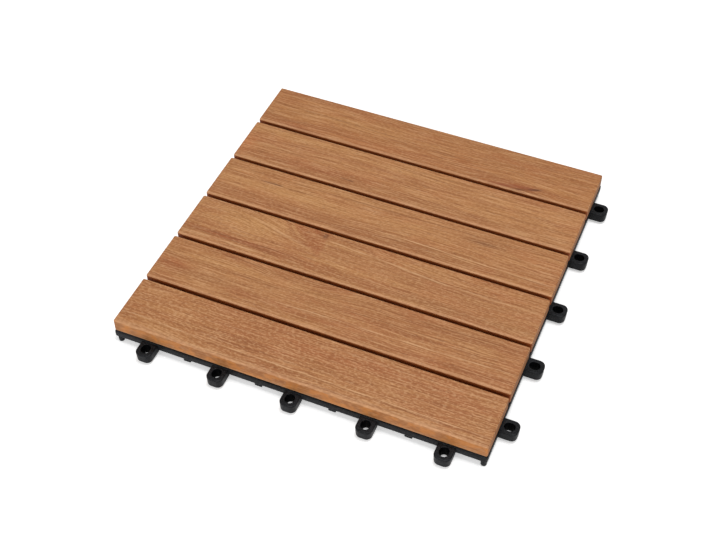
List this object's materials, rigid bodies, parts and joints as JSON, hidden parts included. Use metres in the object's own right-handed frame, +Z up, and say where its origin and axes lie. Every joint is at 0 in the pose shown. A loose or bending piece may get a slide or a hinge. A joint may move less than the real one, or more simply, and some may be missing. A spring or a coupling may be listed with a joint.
{
  "type": "interlocking deck tile",
  "caption": "Square interlocking deck tile: hardwood slats on a black plastic grid base, with loops along the front and right sides that take locking pegs of the next tile.",
  "frame": {"origin": "on the ground under the middle of the square of slats, at the foot there", "axes": "+X along the slats to the side with the right-hand loops, +Y from the front loops to the back, +Z up, with the slats on top"},
  "size_m": [0.314, 0.314, 0.0234],
  "materials": {
    "hardwood": "oiled, fine straight grain",
    "base_plastic": "black moulded, matte",
    "screw_steel": "plain steel"
  },
  "bodies": {
    "root": {"base_grid": "base_plastic", "slat_1": "hardwood", "slat_2": "hardwood", "slat_3": "hardwood", "slat_4": "hardwood", "slat_5": "hardwood", "slat_6": "hardwood", "screws": "screw_steel"}
  },
  "joints": []
}
